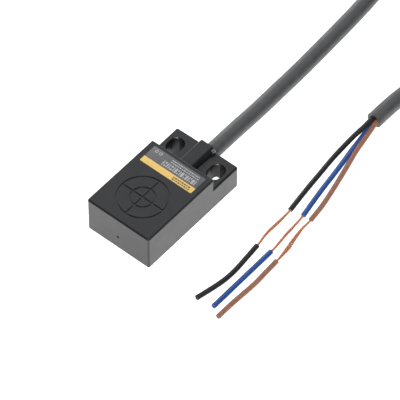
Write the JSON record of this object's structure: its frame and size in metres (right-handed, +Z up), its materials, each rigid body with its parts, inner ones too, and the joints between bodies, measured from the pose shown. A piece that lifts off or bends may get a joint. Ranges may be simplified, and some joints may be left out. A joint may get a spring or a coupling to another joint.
{
  "type": "inductive proximity sensor",
  "caption": "Flat rectangular inductive proximity sensor with target mark, slotted mounting flange and pre-wired cable with stripped lead ends.",
  "frame": {"origin": "bottom centre of the sensor body, midway between its front and rear faces and its two sides", "axes": "+Z up out of the sensing face, +Y along the body towards the cable exit, +X to the right of the cable direction seen from above"},
  "size_m": [0.0702, 0.1684, 0.0178],
  "materials": {
    "case_plastic": "moulded ABS with a fine spark texture, satin",
    "cover_plastic": "moulded ABS plate, matte",
    "label_film": "printed polyester film, grey with a yellow stripe",
    "clear_plastic": "clear light guide",
    "led_epoxy": "tinted epoxy",
    "ferrite": "sintered ferrite",
    "bobbin_plastic": "natural moulded plastic",
    "winding_copper": "enamelled copper wire",
    "board_laminate": "green solder mask on glass laminate",
    "chip_epoxy": "black moulding compound with tinned legs",
    "chip_ceramic": "chip resistor",
    "capacitor_ceramic": "ceramic chip capacitor",
    "solder": "tin solder",
    "potting_epoxy": "cast epoxy resin",
    "seal_rubber": "black elastomer",
    "clamp_steel": "crimped steel ring",
    "cable_jacket": "grey PVC jacket, satin",
    "tie_nylon": "black nylon tie",
    "black_insulation": "black PVC insulation",
    "blue_insulation": "blue PVC insulation",
    "brown_insulation": "brown PVC insulation",
    "bare_copper": "fine stranded bare copper"
  },
  "bodies": {
    "sensor": {"case": "case_plastic", "base_cover": "cover_plastic", "name_label": "label_film", "light_guide": "clear_plastic", "indicator_led": "led_epoxy", "ferrite_core": "ferrite", "coil_bobbin": "bobbin_plastic", "coil_winding": "winding_copper", "coil_leads": "winding_copper", "circuit_board": "board_laminate", "oscillator_chip": "chip_epoxy", "output_transistor": "chip_epoxy", "surge_diode": "chip_epoxy", "chip_resistors": "chip_ceramic", "chip_capacitors": "capacitor_ceramic", "solder_joints": "solder", "potting_resin": "potting_epoxy", "cable_seal": "seal_rubber", "cable_clamp": "clamp_steel", "cable_inlet": "cable_jacket", "black_lead": "black_insulation", "blue_lead": "blue_insulation", "brown_lead": "brown_insulation", "cable_run_out": "cable_jacket", "cable_coil": "cable_jacket", "cable_ties": "tie_nylon", "cable_run_end": "cable_jacket", "black_core": "black_insulation", "blue_core": "blue_insulation", "brown_core": "brown_insulation", "black_strands": "bare_copper", "blue_strands": "bare_copper", "brown_strands": "bare_copper"},
    "black_sleeve": {"black_sleeve": "black_insulation"},
    "blue_sleeve": {"blue_sleeve": "blue_insulation"},
    "brown_sleeve": {"brown_sleeve": "brown_insulation"}
  },
  "joints": [
    {"name": "black_sleeve_slide", "type": "slide", "parent": "sensor", "child": "black_sleeve", "axis": [0.0872, -0.9962, 0], "range_m": [0, 0.01]},
    {"name": "blue_sleeve_slide", "type": "slide", "parent": "sensor", "child": "blue_sleeve", "axis": [0, -1, 0], "range_m": [0, 0.01]},
    {"name": "brown_sleeve_slide", "type": "slide", "parent": "sensor", "child": "brown_sleeve", "axis": [0.0436, -0.999, 0], "range_m": [0, 0.01]}
  ]
}
